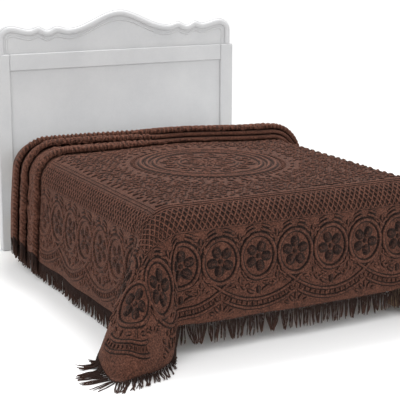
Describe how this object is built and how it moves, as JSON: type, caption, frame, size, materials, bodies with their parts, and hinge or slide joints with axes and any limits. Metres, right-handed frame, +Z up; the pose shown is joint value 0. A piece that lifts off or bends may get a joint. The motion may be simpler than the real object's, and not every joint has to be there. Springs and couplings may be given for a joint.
{
  "type": "chenille bedspread on a bed",
  "caption": "Brown chenille bedspread, tufted and fringed, draped over a plain bed with a scalloped headboard and turned back in uneven pleats near the head.",
  "frame": {"origin": "on the floor, under the middle of the whole object's box", "axes": "+X to the sleeper's left as seen from the foot (right of the bed), +Y from the foot to the headboard, +Z up"},
  "size_m": [2.2444, 2.3852, 1.409],
  "materials": {
    "chenille": "tufted cotton chenille, matt",
    "fringe_yarn": "twisted cotton yarn",
    "white_cotton": "smooth white cotton",
    "ivory_canvas": "plain canvas",
    "pale_timber": "sealed",
    "headboard_paint": "satin pale grey paint"
  },
  "bodies": {
    "root": {"bedspread": "chenille", "bedspread_fringe": "fringe_yarn", "mattress": "white_cotton", "bed_base": "ivory_canvas", "frame_rail_left": "pale_timber", "frame_rail_right": "pale_timber", "frame_slat_1": "pale_timber", "frame_slat_2": "pale_timber", "frame_slat_3": "pale_timber", "frame_slat_4": "pale_timber", "frame_leg_foot_left": "pale_timber", "frame_leg_foot_right": "pale_timber", "frame_leg_middle_left": "pale_timber", "frame_leg_middle_right": "pale_timber", "frame_leg_head_left": "pale_timber", "frame_leg_head_right": "pale_timber", "headboard_panel": "headboard_paint", "headboard_moulding": "headboard_paint", "headboard_rail": "headboard_paint", "headboard_post_left": "headboard_paint", "headboard_post_right": "headboard_paint"}
  },
  "joints": []
}
